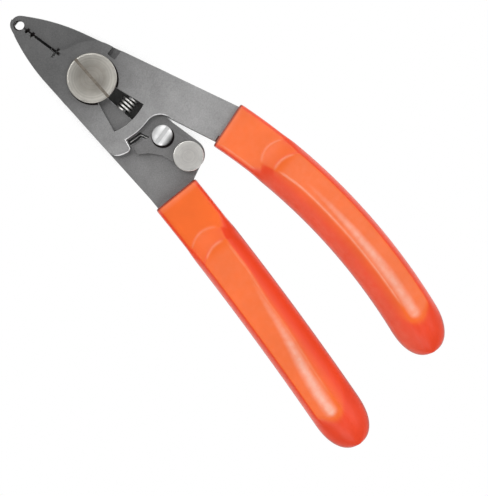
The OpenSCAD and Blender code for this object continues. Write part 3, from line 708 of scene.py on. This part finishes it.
# Painted highlights and shade: bands across the domed head, bright beside the slot and dark at its two sides
from_slot = worked(tree, "SUBTRACT", along(tree, place, "Y"), screw_at.y)
painted_bands = ramp(tree, ranged(tree, from_slot, -screw_r, screw_r),
             (0.02, 0.10), (0.16, 0.42), (0.28, 0.97), (0.39, 0.97), (0.42, 0.74),
             (0.58, 0.74), (0.61, 0.97), (0.70, 0.92), (0.82, 0.60), (0.98, 0.35))
film = noise(tree, place, 1.2 * MM, 3)
tree.links.new(toned(tree, painted_bands, ramp(tree, film, (0.3, 0.88), (0.7, 1.0))),
               shader.inputs["Base Color"])
bumped(tree, shader, film, 0.10, 0.03 * MM)
screw.data.materials.append(bright)
only(screw)
bpy.ops.object.shade_smooth_by_angle(angle=radians(32))
small_nut = solid_copy("latch_nut", "latch_nut_plated")
small_nut.data.materials.append(zinc)
rounded(small_nut, 0.1 * MM, 2, angle=25)
for piece, node, finish in ((screw, "latch_screw", "bright_steel"),
                            (small_nut, "latch_nut", "plated_steel")):
    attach(piece, "rear_handle")
    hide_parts(node)

# ---------------------------------------------------------------------------
# Latch spring. One turn of 0.5 mm wire in a recess under the latch, with a
# straight leg that shows as a bright bar in the curved slot.

hair = solid_copy("latch_spring", "latch_spring_wound")
hair.data.materials.append(drawn_wire("hair spring wire"))
only(hair)
bpy.ops.object.shade_smooth_by_angle(angle=radians(60))
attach(hair, "rear_handle")
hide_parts("latch_spring")

# ---------------------------------------------------------------------------
# Grips. Soft vinyl moulded over the tangs: a flat sleeve, a ramp between two
# curved ridges, a raised flat pad and a long rounded flank to the palm.


def attribute(tree, name):
    """A value that the mesh carries at its points."""
    made = tree.nodes.new("ShaderNodeAttribute")
    made.attribute_name = name
    return made.outputs["Fac"]


vinyl, tree, shader, place = paint("orange vinyl", 0.36, 0.0)
flank_orange, painted_light_orange = (0.91, 0.068, 0.016), (0.935, 0.152, 0.022)
end_shade_orange = (0.89, 0.062, 0.016)
shade_brown, sheen_pale = (0.30, 0.045, 0.022), (0.99, 0.52, 0.40)
tone = ramp(tree, noise(tree, place, 11 * MM, 4), (0.3, 0.93), (0.7, 1.05))
fine = noise(tree, place, 0.45 * MM, 3)
facing = tree.nodes["Texture Coordinate"].outputs["Normal"]
# Painted light: faces that look up or down are a paler orange than the flanks
upward = worked(tree, "ABSOLUTE", along(tree, facing, "Z"))
colour = mixed(tree, ranged(tree, upward, 0.84, 0.995, soft=True), flank_orange, painted_light_orange)
# Painted shade: past the pad the rounded end goes over to a darker orange
colour = mixed(tree, attribute(tree, "end_shade"), colour, end_shade_orange)
# Painted shade: dark brown at the mouth's rounded edge and low on the steep sides
colour = mixed(tree, attribute(tree, "mouth_and_side_shade"), colour, shade_brown)
# Painted highlights: paler streaks along the creases, the ridges and the pad
patches = ramp(tree, noise(tree, place, 1.6 * MM, 4), (0.3, 0.72), (0.7, 1.12))
sheen_share = worked(tree, "MULTIPLY", attribute(tree, "painted_sheen"), patches, clamp=True)
colour = mixed(tree, sheen_share, colour, sheen_pale)
tree.links.new(toned(tree, colour, tone), shader.inputs["Base Color"])
tree.links.new(ramp(tree, fine, (0.3, 0.32), (0.7, 0.42)), shader.inputs["Roughness"])
shader.inputs["Specular IOR Level"].default_value = 0.30
shader.inputs["Subsurface Weight"].default_value = 0.05
shader.inputs["Subsurface Radius"].default_value = (0.0010, 0.0003, 0.0002)
bumped(tree, shader, fine, 0.06, 0.03 * MM)

# In millimetres. A place on a grip is s along it from the mouth and u across it,
# where u is positive on the side that faces the other grip.
sleeve_half, sleeve_high = 6.42, 4.3
body_half, body_high = 6.60, 5.5
sleeve_end, ramp_long = 11.9, 4.5
mouth_edge, mouth_cut = 0.55, 0.30
ridge_high, ridge_wide = 0.10, 0.30
end_start, end_long, end_power = 68.5, 10.5, 2.3
grip_end = 80.2
middle_z = 5.5


def eased(value):
    """0 to 1 with soft ends."""
    value = min(max(value, 0.0), 1.0)
    return value * value * (3 - 2 * value)


def between(first, second, share):
    """A value part of the way from the first to the second."""
    return first + (second - first) * share


def bell(value, peak, wide):
    """1 where the value is at the peak, falling softly to 0 on either side."""
    return exp(-((value - peak) / wide) ** 2)


def first_ridge(u):
    """Distance from the mouth of the ridge where the ramp begins, a curve across the grip."""
    return 11.6 + (u + 0.8) ** 2 / 11.0


def second_ridge(u):
    """Distance from the mouth of the ridge where the ramp ends and the pad begins."""
    return 16.3 + (u - 0.3) ** 2 / 11.5


def pad_end(u):
    """Distance from the mouth at which the flat pad goes over into the rounded end."""
    return 69.6 - (u + 1.2) ** 2 / 6.5


def mouth_rounding(s):
    """How far the rounded edge at the mouth lies behind the sleeve's own face."""
    from_mouth = min(1.0, s / mouth_edge)
    return mouth_cut * (1 - (1 - (1 - from_mouth) ** 2) ** 0.5)


def flank_fall(u, crease, edge, part):
    """Height of a flank from its crease, 1, down to its edge, 0, on a piece of an ellipse."""
    if abs(u) >= edge:
        return 0.0
    half = (edge - crease) / (1 - part)
    c = (abs(u) - edge + half) / half
    return ((1 - c * c) / (1 - part * part)) ** 0.5 if c > part else 1.0


def sleeve_height(s, u, edge, crease_in):
    """Half thickness of the sleeve, whose inner side goes over into the flank by degrees."""
    high = sleeve_high - mouth_rounding(s)
    boxy = high * max(0.0, 1 - abs(u / edge) ** 7) ** (1 / 7)
    if u <= 0:
        return boxy
    sloped = min(boxy, high * flank_fall(u, crease_in, edge, 0.50))
    return between(boxy, sloped, eased((s - 10.3) / 6.5))


def body_height(s, u, edge, crease_in, crease_out):
    """Half thickness of the body: a flat pad, a long flank inside and a short one outside."""
    past_pad = min(max((s - pad_end(u)) / (grip_end - pad_end(u)), 0.0), 1.0)
    side = flank_fall(u, crease_in, edge, 0.50) if u > 0 else flank_fall(u, crease_out, edge, 0.30)
    round_side = max(0.0, 1 - (u / edge) ** 2) ** 0.5 if abs(u) < edge else 0.0
    side = between(side, round_side, eased((s - 66) / 7))
    crown = 0.05 * eased((abs(u + 1.3) - 1.0) / 3.5)
    return body_high * side * flank_fall(past_pad, 0.0, 1.0, 0.22) - crown * side


def grip_height(s, u, edge, crease_in, crease_out):
    """Half thickness at a place: the sleeve, the ramp up to the body, and the two ridges."""
    rise_from, rise_to = first_ridge(u), second_ridge(u)
    risen = min(max((s - rise_from) / max(rise_to - rise_from, 0.5), 0.0), 1.0)
    ridges = sum(bell(s, at, ridge_wide) * eased((inner_end - u) / 1.2)
                 for at, inner_end in ((rise_from, 3.6), (rise_to, crease_in)))
    sleeve, body = sleeve_height(s, u, edge, crease_in), body_height(s, u, edge, crease_in, crease_out)
    return between(sleeve, body, risen) + ridge_high * ridges * eased((u + 5.8) / 1.0)


def half_width(s):
    """Half the width of a grip: the sleeve, the slightly wider body and the round end."""
    ending = max(0.0, (s - end_start) / end_long)
    closing = max(0.0, 1 - ending ** end_power) ** (1 / end_power)
    wide = between(sleeve_half, body_half, eased((s - sleeve_end) / ramp_long))
    return wide * closing - mouth_rounding(s)


def painted_sheen_at(s, u, crease_in, inward):
    """How strong the painted highlight is: on the crease, the pad, the two ridges and the mouth's lip."""
    crease_line = bell(u, crease_in - 0.25, 0.30) * eased((s - 17) / 3) * eased((66 - s) / 6)
    first = bell(s, first_ridge(u), ridge_wide) * eased((3.4 - u) / 1.5) * eased((u + 5.8) / 1.5)
    second = bell(s, second_ridge(u), 0.34) * eased((2.6 - u) / 1.5) * eased((u + 4.6) / 1.5)
    on_pad = (eased((s - 17) / 3) * eased((crease_in - u) / 0.8) * eased((u + 5.4) / 0.8)
              * eased((pad_end(u) - s) / 1.5))
    sheen_wide = between(0.75, 1.35, eased((s - 28) / 32))
    lip = 0.24 * bell(s, 0.95, 0.3)
    if inward > 0:
        from_crease = between(0.8, 2.5, eased((s - 30) / 36))
        sheen = bell(u, crease_in - from_crease, sheen_wide) * on_pad * 0.98 * eased((s - 20) / 44)
        return max(sheen, lip, 0.08 * on_pad, 0.25 * crease_line, 0.22 * first, 0.30 * second)
    sheen = bell(u, crease_in - 2.0, sheen_wide) * on_pad * 0.75 * eased((s - 16) / 34)
    sleeve_line = bell(u, 5.1, 0.28) * eased(s / 3) * eased((13.5 - s) / 2)
    # Painted light lifting the front grip's flank towards its edge
    on_flank = eased((u - crease_in) / 0.6) * eased((s - 12) / 6)
    on_flank *= 0.05 + 0.11 * eased((u - crease_in - 0.6) / 3.4)
    on_sleeve = 0.08 * eased((16 - s) / 4)
    return max(sheen, lip, on_flank, on_sleeve, 0.12 * on_pad, 0.55 * crease_line, 0.30 * sleeve_line,
               0.30 * first, 0.34 * second)


def extruded_rings(name, around, count):
    """A tube of rings 1 mm apart, closed at both ends, whose points are then moved."""
    bpy.ops.object.select_all(action="DESELECT")
    bpy.ops.mesh.primitive_circle_add(vertices=around, radius=5 * MM, fill_type="NGON")
    piece = bpy.context.object
    piece.name = name
    bpy.ops.object.mode_set(mode="EDIT")
    bpy.ops.mesh.select_all(action="SELECT")
    for _ in range(count - 1):
        bpy.ops.mesh.extrude_region_move(TRANSFORM_OT_translate={"value": (0, 0, 1 * MM)})
    bpy.ops.object.mode_set(mode="OBJECT")
    return piece


def moulded(node, name, body, mouth, lean, bend, inward, crease):
    """Extrudes a ring from the mouth to the end, then gives each ring the mould's section."""
    around, half_steps = 112, 56
    stations = [0, 0.08, 0.2, 0.36, mouth_edge, 0.8] + [1.2 + 0.9 * i for i in range(9)]
    stations += [9.0 + 0.27 * i for i in range(40)] + [20.0 + 1.0 * i for i in range(39)]
    stations += [58.8 + 0.55 * i for i in range(22)]
    stations += [71.0 + 8.0 * sin(radians(86 * i / 16)) for i in range(17)]
    piece = extruded_rings(name, around, len(stations))
    marks = piece.data.attributes
    for kind in ("painted_sheen", "end_shade", "mouth_and_side_shade"):
        marks.new(kind, "FLOAT", "POINT")
    sheen_marks, end_shade, mouth_side_shade = marks["painted_sheen"], marks["end_shade"], marks["mouth_and_side_shade"]
    for vertex in piece.data.vertices:
        s = stations[round(vertex.co.z / MM)]
        turn = round(atan2(vertex.co.y, vertex.co.x) / (2 * pi) * around) % around
        top = turn <= half_steps
        step = (turn if top else around - turn) / half_steps
        edge = half_width(s)
        crease_in = min(crease(s) + (1 - eased((s - 11) / 8)), edge * 0.72)
        crease_out = min(between(5.6, 5.2, eased((s - 14) / 6)), edge * 0.86)
        u = edge * cos(pi * step)
        for _ in range(2):
            u = between(u, edge * (1 - 2 * step), 0.18)
        high = 0.0
        if 0 < step < 1:
            high = sum(grip_height(s, u + shift, edge, crease_in, crease_out) * share
                       for shift, share in ((-0.16, 0.25), (0, 0.5), (0.16, 0.25)))
        # Painted highlight strength at each point
        sheen_marks.data[vertex.index].value = painted_sheen_at(s, u, crease_in, inward)
        # Painted shade on the rounded end past the pad
        end_shade.data[vertex.index].value = eased((s - pad_end(u)) / 2.0)
        # Painted shade at the mouth's edge and low on the steep sides
        mouth_side_shade.data[vertex.index].value = max(eased((0.62 - s) / 0.26), 0.5 * eased((2.2 - high) / 1.6))
        turned = lean + s / bend
        x = mouth[0] + bend * (cos(turned) - cos(lean)) + inward * u * cos(turned)
        y = mouth[1] + bend * (sin(lean) - sin(turned)) - inward * u * sin(turned)
        vertex.co = Vector((x, y, middle_z + (high if top else -high))) * MM
    only(piece)
    bpy.ops.object.mode_set(mode="EDIT")
    bpy.ops.mesh.select_all(action="SELECT")
    bpy.ops.mesh.normals_make_consistent(inside=False)
    bpy.ops.object.mode_set(mode="OBJECT")
    bpy.ops.object.shade_smooth_by_angle(angle=radians(50))
    piece.data.materials.append(vinyl)
    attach(piece, body)
    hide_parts(node)


moulded("rear_grip", "rear_grip_moulded", "rear_handle", (-11.1, -34.7), radians(14.6), 900, 1,
        lambda s: 2.9 - 0.9 * eased((s - 24) / 14) - 0.9 * eased((s - 40) / 22))
moulded("front_grip", "front_grip_moulded", "front_handle", (10.95, -34.7), radians(-3), 158, -1,
        lambda s: 1.9 - 0.7 * eased((s - 16) / 10))
